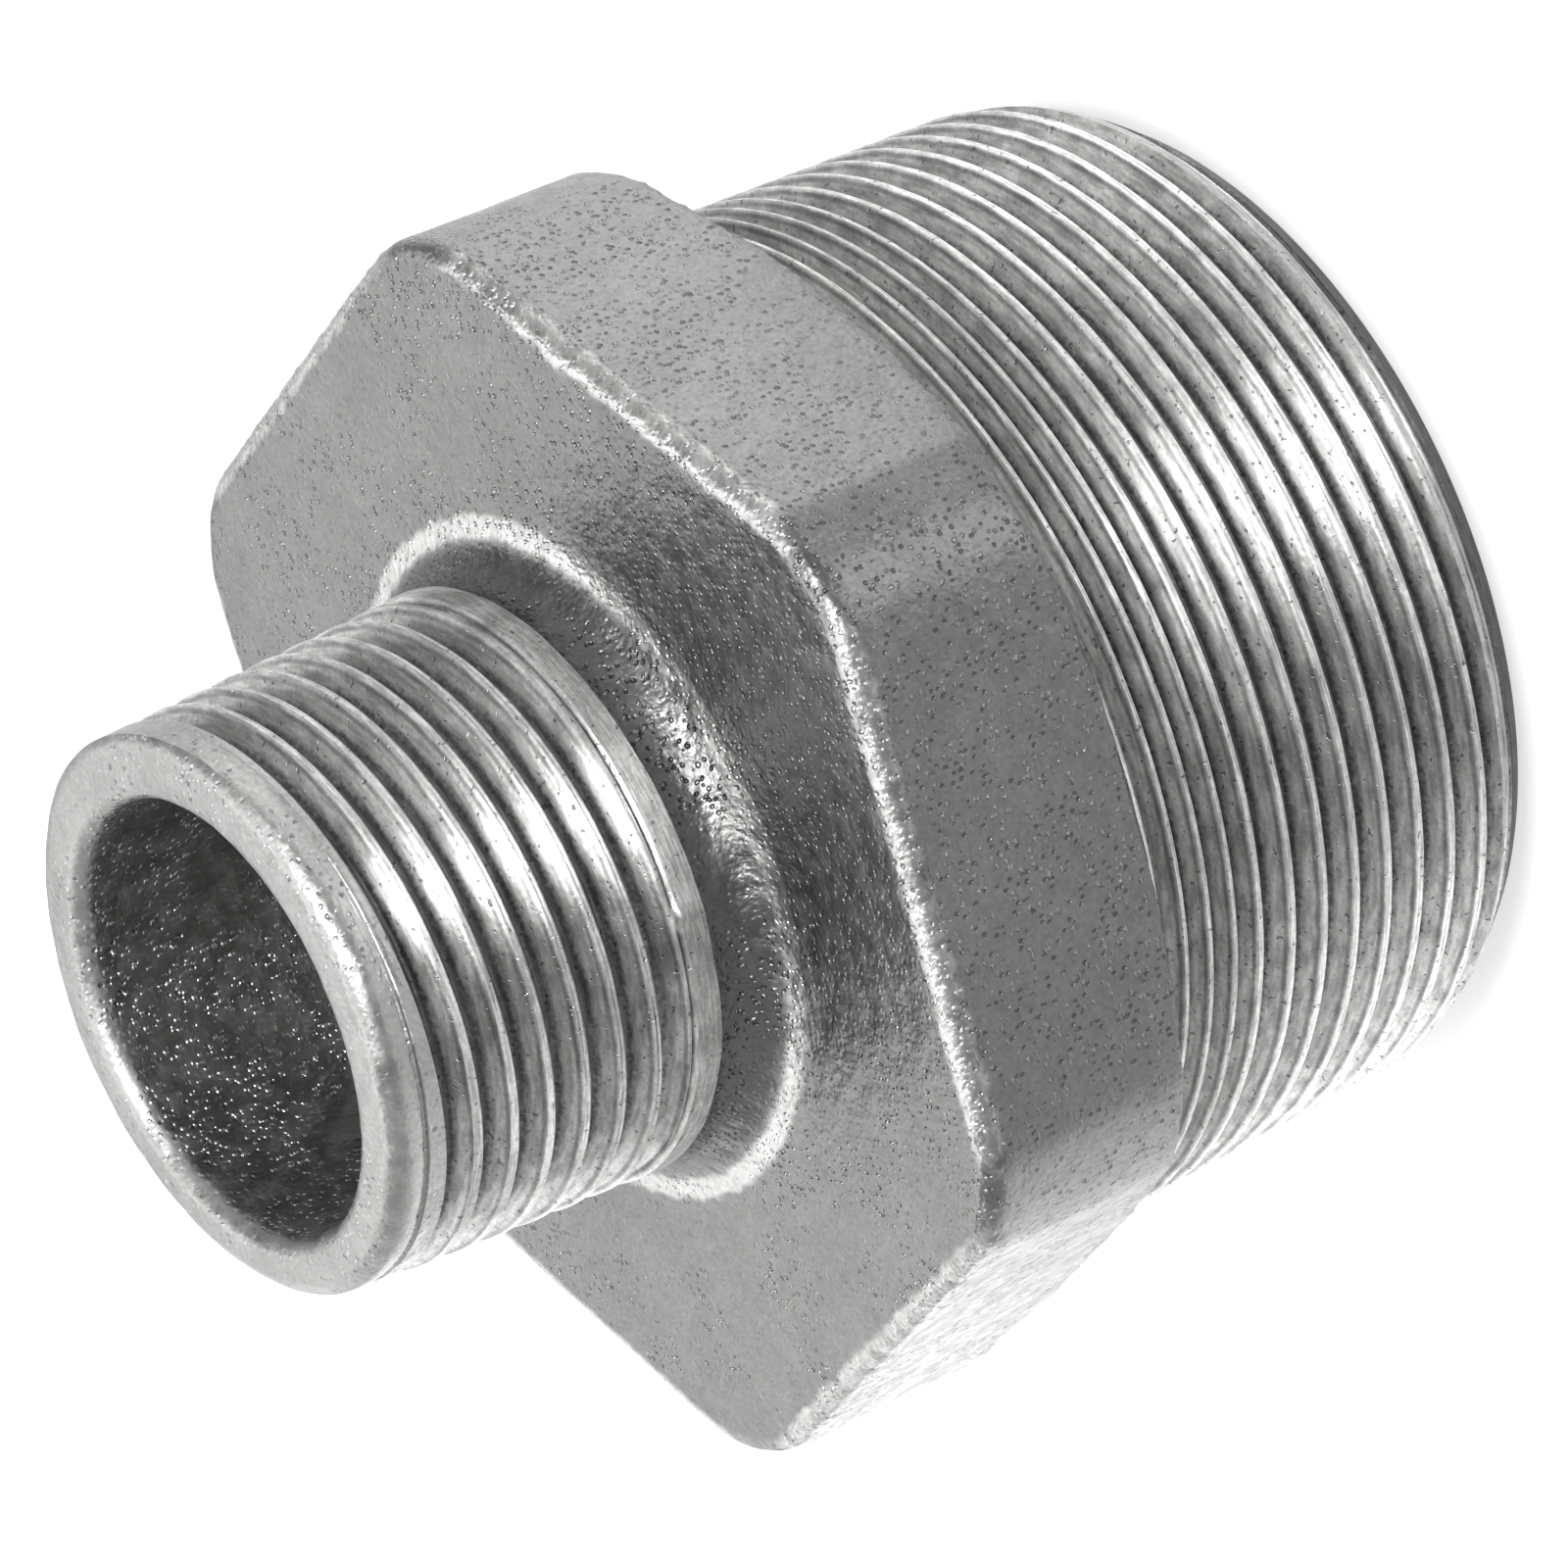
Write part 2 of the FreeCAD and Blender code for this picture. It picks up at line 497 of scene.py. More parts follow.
@dataclass
class SmallEnd:
    """The small threaded end with its round cast nose. Lengths are in mm."""

    tip: float = 68.0
    low: float = 48.9
    gauge_radius: float = 33.249 / 2
    gauge_drop: float = 10.4
    bore_radius: float = 12.5
    bore_edge: float = 1.2
    face_width: float = 1.25
    face_drop: float = 0.14
    outer_edge: float = 1.35
    cone_end: float = 4.7
    line_share: float = 0.72
    fuller: float = 0.42
    fuller_towards: float = 16.0
    columns: int = 216

    def thread(self) -> TaperThread:
        """Gives the thread, which runs out beside the plain land and on the nose.

        Returns:
            The thread.
        """
        return TaperThread(
            name="small_end",
            gauge_radius=self.gauge_radius,
            gauge_z=self.tip - self.gauge_drop,
            growth=-1 / 32,
            crest_z=58.2,
            low=self.low,
            high=self.tip + 0.5,
            fade_from=self.low - 1.2,
            full_from=self.low + 1.6,
            full_to=self.tip - 4.2,
            fade_to=self.tip - 1.6,
            columns=180,
            nick_seed=11.0,
        )

    def build(self) -> bpy.types.Object:
        """Models the threaded rod and shapes its nose.

        Returns:
            The closed solid.
        """
        rod = self.thread().build()
        inner = self.bore_radius + self.bore_edge
        outer = inner + self.face_width
        edge_z = self.tip - self.face_drop - self.outer_edge
        foot = (outer + self.outer_edge, edge_z)
        cone_z = self.tip - self.cone_end
        cone_radius = self.thread().crest_radius(cone_z)
        growth = (cone_radius - foot[0]) / (edge_z - cone_z)
        past = cone_radius + 1.0
        points = [(0.0, self.low - 1.0), (past, self.low - 1.0), (past, cone_z - 1.0 / growth)]
        for share in (0.0, 0.2, 0.4, 0.55, 0.68):
            points.append(self.on_cone(cone_radius, cone_z, foot, share))
        radius, z = self.on_cone(cone_radius, cone_z, foot, self.line_share)
        for inwards, up in ((0.13, 0.0), (0.12, 0.06), (-0.02, 0.12), (0.07, 0.22)):
            points.append((radius - inwards, z + up))
        points.append(self.on_cone(cone_radius, cone_z, foot, 0.84))
        points += arc((outer, edge_z), self.outer_edge, 4.0, 88.0, 10)
        points.append(((inner + outer) / 2, self.tip - self.face_drop / 2))
        points += arc((inner, self.tip - self.bore_edge), self.bore_edge, 90.0, 180.0, 5)
        points += [(self.bore_radius, self.tip - 1.5), (0.0, self.tip - 1.5)]
        blank = turn_solid("small_blank", points, self.columns)
        for vertex in blank.data.vertices:
            vertex.co = self.cast_nose(vertex.co)
        join_solids(rod, blank, Joining.KEEP_COMMON)
        return rod

    def on_cone(self, cone_radius: float, cone_z: float, foot: Point, share: float) -> Point:
        """The point a share of the way up the nose's cone."""
        return cone_radius + (foot[0] - cone_radius) * share, cone_z + (foot[1] - cone_z) * share

    def cast_nose(self, co: Vector) -> Vector:
        """Makes the nose a little uneven, and fuller on the side that the turning missed.

        Args:
            co: A point of the turned nose in metres.

        Returns:
            The moved point in metres.
        """
        radius, angle, z = polar(co)
        share = smooth((z - (self.tip - 6.5)) / 3.0)
        outside = smooth((radius - self.bore_radius - 0.6) / 1.5)
        full = self.fuller * math.cos(math.radians(angle - self.fuller_towards)) * share
        rough = 0.10 * lumps(co, 5.0, 21.0) + 0.05 * lumps(co, 1.6, 22.0)
        drop = 0.05 * (1 + lumps(co, 4.0, 23.0)) + 0.03 * (1 + lumps(co, 1.3, 24.0))
        if radius < self.bore_radius - 0.2 or share == 0.0:
            return co
        drop *= smooth((z - self.tip + 1.5) / 1.2)
        return from_polar(radius + (full + rough * share) * outside, angle, z - drop)


@dataclass
class CastBody:
    """The cast middle: the spanner hexagon and the filleted neck on its front face. Lengths are in mm."""

    rear: float = 27.9
    thickness: float = 15.6
    across_flats: float = 64.0
    corner_radius: float = 9.0
    front_edge: float = 1.1
    rear_radius: float = 30.18
    rear_slope: float = 24.0
    neck_radius: float = 16.45
    fillet: float = 3.4
    sink: float = -0.10
    bead: float = 0.9
    base: float = 27.45
    voxel: float = 0.5
    outline_radius: float = 35.56
    broad_waver: float = 0.055
    fine_waver: float = 0.035
    chipping: float = 0.07
    worn_corner: float = 0.0
    worn_front: float = 0.12
    worn_rear: float = 0.42

    def build(self) -> bpy.types.Object:
        """Models the hexagon and neck, and gives them the skin of a casting.

        Returns:
            The closed solid.
        """
        body = self.hexagon()
        join_solids(body, self.rear_bevel(), Joining.KEEP_COMMON)
        join_solids(body, self.neck(), Joining.ADD)
        self.cast(body)
        return body

    def hexagon(self) -> bpy.types.Object:
        """Models the hexagon: six sides, rounded uprights and a soft front edge.

        Returns:
            The closed prism, longer at its rear.
        """
        corner = self.across_flats / 2 / math.cos(math.radians(30))
        front = self.rear + self.thickness
        height = front - self.base
        bpy.ops.object.select_all(action="DESELECT")
        bpy.ops.mesh.primitive_cylinder_add(
            vertices=6,
            radius=corner * MM,
            depth=height * MM,
            location=(0, 0, (self.base + height / 2) * MM),
            rotation=(0, 0, math.radians(30)),
        )
        prism = bpy.context.object
        prism.name = "hexagon"
        bpy.ops.object.transform_apply(location=True, rotation=True, scale=True)
        self.bevel_edges(prism, self.corner_radius * math.tan(math.radians(30)), 10, self.is_upright)
        self.bevel_edges(prism, self.front_edge, 5, self.is_front)
        return prism

    def is_upright(self, low: Vector, high: Vector) -> bool:
        """Whether an edge stands on a corner of the hexagon."""
        return abs(low.z - high.z) > 5 * MM

    def is_front(self, low: Vector, high: Vector) -> bool:
        """Whether an edge lies round the front face."""
        return min(low.z, high.z) > (self.rear + self.thickness - 0.1) * MM

    def bevel_edges(
        self, piece: bpy.types.Object, offset: float, segments: int, chosen: Callable[[Vector, Vector], bool]
    ) -> None:
        """Rounds the edges that a test picks out.

        Args:
            piece: The solid.
            offset: Width of the bevel in mm.
            segments: Number of faces across it.
            chosen: The test, which is given the two ends of an edge.
        """
        pick(piece)
        bpy.ops.object.mode_set(mode="EDIT")
        bpy.ops.mesh.select_mode(type="EDGE")
        bpy.ops.mesh.select_all(action="DESELECT")
        bpy.ops.object.mode_set(mode="OBJECT")
        places = piece.data.vertices
        for edge in piece.data.edges:
            edge.select = chosen(places[edge.vertices[0]].co, places[edge.vertices[1]].co)
        bpy.ops.object.mode_set(mode="EDIT")
        bpy.ops.mesh.bevel(offset=offset * MM, segments=segments, affect="EDGES", offset_type="OFFSET")
        bpy.ops.object.mode_set(mode="OBJECT")

    def rear_bevel(self) -> bpy.types.Object:
        """Turns the cone that bevels the hexagon's rear corners.

        Returns:
            The closed solid, which holds all but what the bevel takes.
        """
        slope = math.tan(math.radians(self.rear_slope))
        wide = 42.0
        top = self.rear + self.thickness + 2.0
        points = [
            (0.0, self.base - 0.01),
            (self.rear_radius - (self.rear - self.base + 0.01) / slope, self.base - 0.01),
            (wide, self.rear + (wide - self.rear_radius) * slope),
            (wide, top),
            (0.0, top),
        ]
        return turn_solid("rear_bevel", points, 180)

    def neck(self) -> bpy.types.Object:
        """Turns the neck with the fillet and the low bead round its foot.

        Returns:
            The closed solid.
        """
        front = self.rear + self.thickness
        outer = self.neck_radius + self.fillet
        middle_z = front + self.fillet - self.sink
        points = [(0.0, front - 1.0), (outer + self.bead, front - 1.0)]
        for share, up in ((1.0, -0.05), (0.5, 0.10), (0.0, 0.17), (-0.5, 0.19)):
            points.append((outer + share * self.bead, front + up))
        points += arc((outer, middle_z), self.fillet, 258.0, 180.0, 11)
        points += [(self.neck_radius, middle_z + 0.8), (0.0, middle_z + 0.8)]
        return turn_solid("neck", points, 120)

    def cast(self, body: bpy.types.Object) -> None:
        """Remeshes the solid finely, softens its edges and lets its skin waver as sand leaves it.

        Args:
            body: The solid, which is changed in place.
        """
        skin = body.modifiers.new("skin", "REMESH")
        skin.mode = "VOXEL"
        skin.voxel_size = self.voxel * MM
        soften = body.modifiers.new("soften", "SMOOTH")
        soften.factor = 0.5
        soften.iterations = 2
        pick(body)
        for name in ("skin", "soften"):
            bpy.ops.object.modifier_apply(modifier=name)
        normals = [vertex.normal.copy() for vertex in body.data.vertices]
        for vertex, normal in zip(body.data.vertices, normals):
            vertex.co = vertex.co + normal * self.waver(vertex.co) * MM

    def waver(self, co: Vector) -> float:
        """How far the cast skin stands off its true shape at a point, in mm.

        Args:
            co: The point in metres.

        Returns:
            The distance along the normal, below 0 for a hollow.
        """
        radius, angle, z = polar(co)
        broad = self.broad_waver * (lumps(co, 7.0, 31.0) - 1)
        fine = self.fine_waver * (lumps(co, 1.7, 32.0) - 1)
        front = self.rear + self.thickness
        off_edge = max(abs(z - front), abs(radius - self.flat_radius(angle)))
        edge = 1 - smooth((off_edge - 0.5) / 1.2)
        chips = self.chipping * edge * (lumps(co, 1.1, 33.0) - 0.6)
        rise = (front - z) / self.thickness
        worn = 1 - smooth(abs(angle_apart(angle, self.worn_corner)) / 26.0)
        ground = -(self.worn_front + self.worn_rear * rise) * worn * smooth((radius - 30.0) / 2.0)
        return min(0.0, broad + fine + chips) + ground

    def flat_radius(self, angle: float) -> float:
        """Radius of the hexagon's outline in a direction, held to its rounded corners' largest."""
        off_middle = abs(angle_apart(angle, 60 * math.floor(angle / 60) + 30))
        return min(self.outline_radius, self.across_flats / 2 / math.cos(math.radians(off_middle)))


@dataclass
class Bore:
    """The cutter of the stepped bore. Lengths are in mm."""

    small_radius: float = 12.5
    large_radius: float = 24.0
    large_depth: float = 36.0
    corner: float = 1.2
    foot_edge: float = 0.4
    tip: float = 68.0
    step: float = 1.4
    large_step: float = 4.0
    columns: int = 120

    def build(self) -> bpy.types.Object:
        """Turns the cutter and makes its skin as rough as a cored hole's.

        Returns:
            The closed cutter.
        """
        mouth = self.large_radius + self.foot_edge
        points = [(0.0, -1.0), (mouth, -1.0), (mouth, 0.0), (self.large_radius, self.foot_edge)]
        low, high = self.foot_edge + 1.5, self.large_depth - self.corner
        points += self.wall(self.large_radius, low, high, self.large_step)
        points += arc((self.large_radius - self.corner, high), self.corner, 8.0, 90.0, 6)
        points.append((self.small_radius + 6.0, self.large_depth))
        points.append((self.small_radius + self.corner, self.large_depth))
        low, high = self.large_depth + self.corner, self.tip - 1.0
        points += arc((self.small_radius + self.corner, low), self.corner, 262.0, 180.0, 6)
        points += self.wall(self.small_radius, low + self.step, high, self.step)
        points += [(self.small_radius, self.tip + 1.0), (0.0, self.tip + 1.0)]
        cutter = turn_solid("bore", points, self.columns)
        for vertex in cutter.data.vertices:
            vertex.co = self.cored(vertex.co)
        return cutter

    def wall(self, radius: float, low: float, high: float, step: float) -> list[Point]:
        """Points up a straight wall, a step apart."""
        count = max(1, round((high - low) / step))
        return [(radius, low + (high - low) * row / count) for row in range(count + 1)]

    def cored(self, co: Vector) -> Vector:
        """Moves a point of the wall in or out as a sand core leaves it.

        Args:
            co: The point in metres.

        Returns:
            The moved point in metres.
        """
        radius, angle, z = polar(co)
        if z < self.foot_edge + 1 or z > self.tip - 2.5 or radius < self.small_radius - 0.2:
            return co
        rough = 0.10 * lumps(co, 6.0, 41.0) + 0.06 * lumps(co, 1.8, 42.0)
        return from_polar(radius + rough, angle, z)


@dataclass
class Nipple:
    """The whole nipple: the cast body, the two threaded ends, the plain land and the bore."""

    land_low: float = 46.9
    land_high: float = 48.6
    land_height: float = 0.08
    land_columns: int = 200
    burr: float = 0.38
    burr_angle: float = -90.5
    burr_width: float = 3.5

    def build(self) -> bpy.types.Object:
        """Models the nipple as one closed mesh.

        Returns:
            The finished object, at the origin.
        """
        skin = CastBody().build()
        report(skin)
        for end in (LargeEnd(), SmallEnd()):
            solid = end.build()
            report(solid)
            if isinstance(end, SmallEnd):
                join_solids(solid, self.land(end), Joining.ADD)
            join_solids(skin, solid, Joining.ADD)
        join_solids(skin, Bore().build(), Joining.CUT)
        skin.name = "nipple_skin"
        skin.data.name = "nipple_skin"
        return skin

    def land(self, small_end: SmallEnd) -> bpy.types.Object:
        """Turns the plain land under the small thread, with the hairline groove above it.

        Args:
            small_end: The end that the land carries.

        Returns:
            The closed solid.
        """
        crest = small_end.thread().crest_radius(self.land_high)
        radius = crest + self.land_height
        points = [
            (0.0, self.land_low),
            (radius - 0.1, self.land_low),
            (radius, self.land_low + 0.1),
            (radius, self.land_high - 0.08),
            (radius - 0.06, self.land_high),
            (crest - 0.22, self.land_high + 0.13),
            (crest - 0.22, self.land_high + 0.19),
            (crest - 0.03, self.land_high + 0.36),
            (0.0, self.land_high + 0.36),
        ]
        land = turn_solid("land", points, self.land_columns)
        for vertex in land.data.vertices:
            vertex.co = self.burred(vertex.co)
        return land

    def burred(self, co: Vector) -> Vector:
        """Moves a point of the land out where the tool left a burr, and makes its rear edge wavy.

        Args:
            co: The point in metres.

        Returns:
            The moved point in metres.
        """
        radius, angle, z = polar(co)
        if radius < 15.0:
            return co
        near = max(0.0, 1 - abs(angle_apart(angle, self.burr_angle)) / self.burr_width)
        top = smooth((z - self.land_low) / (self.land_high - self.land_low))
        wave = 0.12 * lumps(co, 3.0, 51.0) * (1 - top)
        return from_polar(radius + self.burr * near * near * top, angle, z - wave)


def report(piece: bpy.types.Object) -> None:
    """Says how large a piece's mesh is, and whether it is closed.

    Args:
        piece: The piece.
    """
    uses = {}
    for face in piece.data.polygons:
        for key in face.edge_keys:
            uses[key] = uses.get(key, 0) + 1
    odd = sum(1 for count in uses.values() if count != 2)
    triangles = sum(len(face.vertices) - 2 for face in piece.data.polygons)
    LOG.info("%s: %d triangles, %d open edges", piece.name, triangles, odd)


class NodeSheet:
    """Lays out the nodes of one material or world, and links them as they are added."""

    def __init__(self, tree: bpy.types.NodeTree) -> None:
        """Takes the node tree to fill."""
        self.tree = tree

    def add(self, kind: str) -> bpy.types.Node:
        """Adds a shader node of a kind."""
        return self.tree.nodes.new("ShaderNode" + kind)

    def put(self, value: Level, socket: Socket) -> None:
        """Links an output to a socket, or sets a number on it.

        Args:
            value: An output socket or a number.
            socket: The input socket.
        """
        if isinstance(value, Socket):
            self.tree.links.new(value, socket)
        else:
            socket.default_value = value

    def math(self, operation: str, first: Level, second: Level = 0.0) -> Socket:
        """Adds a sum of two values.

        Args:
            operation: Name of the sum, such as ADD.
            first: First value.
            second: Second value.

        Returns:
            The result.
        """
        node = self.add("Math")
        node.operation = operation
        self.put(first, node.inputs[0])
        self.put(second, node.inputs[1])
        return node.outputs[0]

    def times(self, first: Level, *others: Level) -> Socket:
        """Adds the product of all the values.

        Args:
            first: First value.
            others: The values that it is multiplied by.

        Returns:
            The product.
        """
        for other in others:
            first = self.math("MULTIPLY", first, other)
        return first

    def weighed(self, *parts: tuple[Level, float]) -> Socket:
        """Adds up values, each times its own weight.

        Args:
            parts: Pairs of a value and its weight.

        Returns:
            The weighted sum.
        """
        total, *rest = [self.times(value, weight) for value, weight in parts]
        for part in rest:
            total = self.math("ADD", total, part)
        return total

    def dimmed(self, mask: Level, share: float) -> Socket:
        """Adds a factor that falls from 1 by a share where a mask is 1."""
        return self.math("SUBTRACT", 1.0, self.times(mask, share))

    def ragged(self, value: Level, grains: Level, amount: float) -> Socket:
        """Adds noise of an amount to a value, half of it to each side."""
        return self.math("ADD", value, self.times(self.math("SUBTRACT", grains, 0.5), amount))

    def ease(self, value: Level, start: float, end: float, low: float = 0.0, high: float = 1.0) -> Socket:
        """Adds an eased step from one level to another.

        Args:
            value: The value that drives the step.
            start: Value at which the step starts.
            end: Value at which the step ends.
            low: Level before the step.
            high: Level after the step.

        Returns:
            The level.
        """
        node = self.add("MapRange")
        node.interpolation_type = "SMOOTHSTEP"
        self.put(value, node.inputs["Value"])
        for name, number in (("From Min", start), ("From Max", end), ("To Min", low), ("To Max", high)):
            node.inputs[name].default_value = number
        return node.outputs[0]

    def vary(self, grains: Level, low: float, high: float) -> Socket:
        """Adds a level that noise moves from low to high over the noise's usual range."""
        return self.ease(grains, NOISE_LOW, NOISE_HIGH, low, high)

    def own(self) -> Socket:
        """Adds the piece's own coordinates."""
        return self.add("TexCoord").outputs["Object"]

    def along(self, place: Socket, axis: Vector) -> Socket:
        """Adds how far a place or direction reaches along an axis.

        Args:
            place: The place or direction.
            axis: The axis, a unit vector.

        Returns:
            The reach.
        """
        node = self.add("VectorMath")
        node.operation = "DOT_PRODUCT"
        self.put(place, node.inputs[0])
        node.inputs[1].default_value = axis
        return node.outputs["Value"]

    def reach(self, azimuth: float) -> Socket:
        """Adds how far a point of the piece lies out from the axis in one direction, in metres."""
        return self.along(self.own(), way(azimuth, 0.0))

    def height(self) -> Socket:
        """Adds a point's height over the foot, in metres."""
        return self.along(self.own(), Vector((0, 0, 1)))

    def radius(self) -> Socket:
        """Adds a point's distance from the pipe axis, in metres.

        Returns:
            The distance.
        """
        sides = [self.reach(azimuth) for azimuth in (0.0, 90.0)]
        return self.math("SQRT", self.math("ADD", *[self.times(side, side) for side in sides]))

    def place(self, offset: float, stretch: Triple = EVEN) -> Socket:
        """Adds the piece's own coordinates, stretched and set off.

        Args:
            offset: Shift of the pattern in metres.
            stretch: Factors on the three coordinates.

        Returns:
            The coordinates.
        """
        mapping = self.add("Mapping")
        mapping.inputs["Scale"].default_value = stretch
        mapping.inputs["Location"].default_value = (offset, offset, -offset)
        self.put(self.own(), mapping.inputs["Vector"])
        return mapping.outputs[0]

    def grains(self, width: float, detail: float, offset: float, stretch: Triple = EVEN) -> Socket:
        """Adds cloudy noise.

        Args:
            width: Width of its lumps in mm.
            detail: Octaves of finer noise on them.
            offset: Shift of the pattern in metres.
            stretch: Factors on the three coordinates.

        Returns:
            The noise, from 0 to 1.
        """
        node = self.add("TexNoise")
        node.inputs["Scale"].default_value = 1 / (width * MM)
        node.inputs["Detail"].default_value = detail
        self.put(self.place(offset, stretch), node.inputs["Vector"])
        return node.outputs["Fac"]

    def dots(self, width: float, pits: float, specks: float, offset: float) -> tuple[Socket, Socket]:
        """Adds small round dots, one to a cell: pits in some of the cells and raised grains in others.

        Args:
            width: Width of a cell in mm.
            pits: Share of the cells that have a pit.
            specks: Share of the cells that have a raised grain.
            offset: Shift of the pattern in metres.

        Returns:
            The masks of the pits and of the grains, which are 1 in the middle of a dot.
        """
        place = self.place(offset)
        jitter = self.add("TexNoise")
        jitter.inputs["Scale"].default_value = 1 / (DOT_BEND * width * MM)
        jitter.inputs["Detail"].default_value = 0.0
        self.put(place, jitter.inputs["Vector"])
        shift = self.add("VectorMath")
        shift.operation = "MULTIPLY_ADD"
        self.put(jitter.outputs["Color"], shift.inputs[0])
        shift.inputs[1].default_value = (DOT_SHIFT * width * MM,) * 3
        self.put(place, shift.inputs[2])
        cells = self.add("TexVoronoi")
        cells.inputs["Scale"].default_value = 1 / (width * MM)
        cells.inputs["Randomness"].default_value = DOT_SCATTER
        self.put(shift.outputs[0], cells.inputs["Vector"])
        split = self.add("SeparateColor")
        self.put(cells.outputs["Color"], split.inputs[0])
        dot = self.ease(cells.outputs["Distance"], DOT_RIM, DOT_CORE)
        pit = self.ease(split.outputs[0], 1 - pits, 1 - pits + 0.1)
        speck = self.ease(split.outputs[0], specks, specks - 0.1)
        return self.times(dot, pit), self.times(dot, speck)

    def steel(self, shade: Level, tone: float) -> Socket:
        """Adds the nearly neutral gray of steel, as bright as a tone times a shade.

        Args:
            shade: The shade, 1 on average.
            tone: Middle brightness.

        Returns:
            The colour.
        """
        node = self.add("CombineColor")
        for channel, part in enumerate(STEEL_TINT):
            self.put(self.times(shade, tone * part), node.inputs[channel])
        return node.outputs[0]

    def bump(self, height: Level, relief: float) -> Socket:
        """Adds a bump.

        Args:
            height: Height of the surface, from 0 to 1.
            relief: Height of the bump in mm.

        Returns:
            The normal.
        """
        node = self.add("Bump")
        node.inputs["Distance"].default_value = relief * MM
        self.put(height, node.inputs["Height"])
        return node.outputs[0]


def metal(name: str) -> tuple[bpy.types.Material, NodeSheet, bpy.types.Node]:
    """Starts a bare metal material.

    Args:
        name: Name of the material.

    Returns:
        The material, its node sheet and its shader.
    """
    material = bpy.data.materials.new(name)
    material.use_nodes = True
    shader = material.node_tree.nodes["Principled BSDF"]
    shader.inputs["Metallic"].default_value = 1.0
    return material, NodeSheet(material.node_tree), shader


